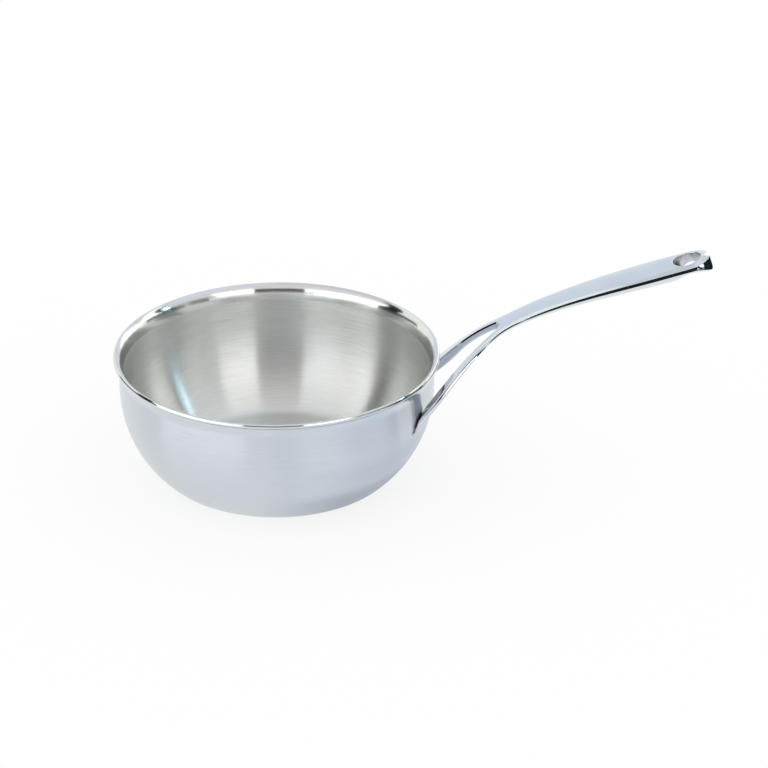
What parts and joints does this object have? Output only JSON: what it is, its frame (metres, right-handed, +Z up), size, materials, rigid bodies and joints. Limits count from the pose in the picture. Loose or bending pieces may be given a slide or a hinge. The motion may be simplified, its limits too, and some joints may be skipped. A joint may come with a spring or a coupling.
{
  "type": "saute pan",
  "caption": "Round-bellied clad steel saute pan with a flat base, a flared pouring lip and a long cast forked handle with a hanging hole, for frying and simmering on a hob.",
  "frame": {"origin": "centre of the flat base, on the plane that the pan stands on", "axes": "+X along the handle, away from the bowl; +Z up along the bowl's axis; the handle's middle plane is Y = 0"},
  "size_m": [0.3885, 0.2134, 0.164],
  "materials": {
    "cooking_surface": "circular brushed stainless steel",
    "outer_steel": "fine satin stainless steel",
    "bonded_aluminium": "rolled, hidden inside the wall",
    "cast_steel": "polished cast stainless steel",
    "weld_steel": "ground weld"
  },
  "bodies": {
    "root": {"inner_liner": "cooking_surface", "inner_bond_layer": "bonded_aluminium", "aluminium_core": "bonded_aluminium", "outer_bond_layer": "bonded_aluminium", "outer_skin": "outer_steel", "handle": "cast_steel", "left_foot_weld": "weld_steel", "right_foot_weld": "weld_steel"}
  },
  "joints": []
}
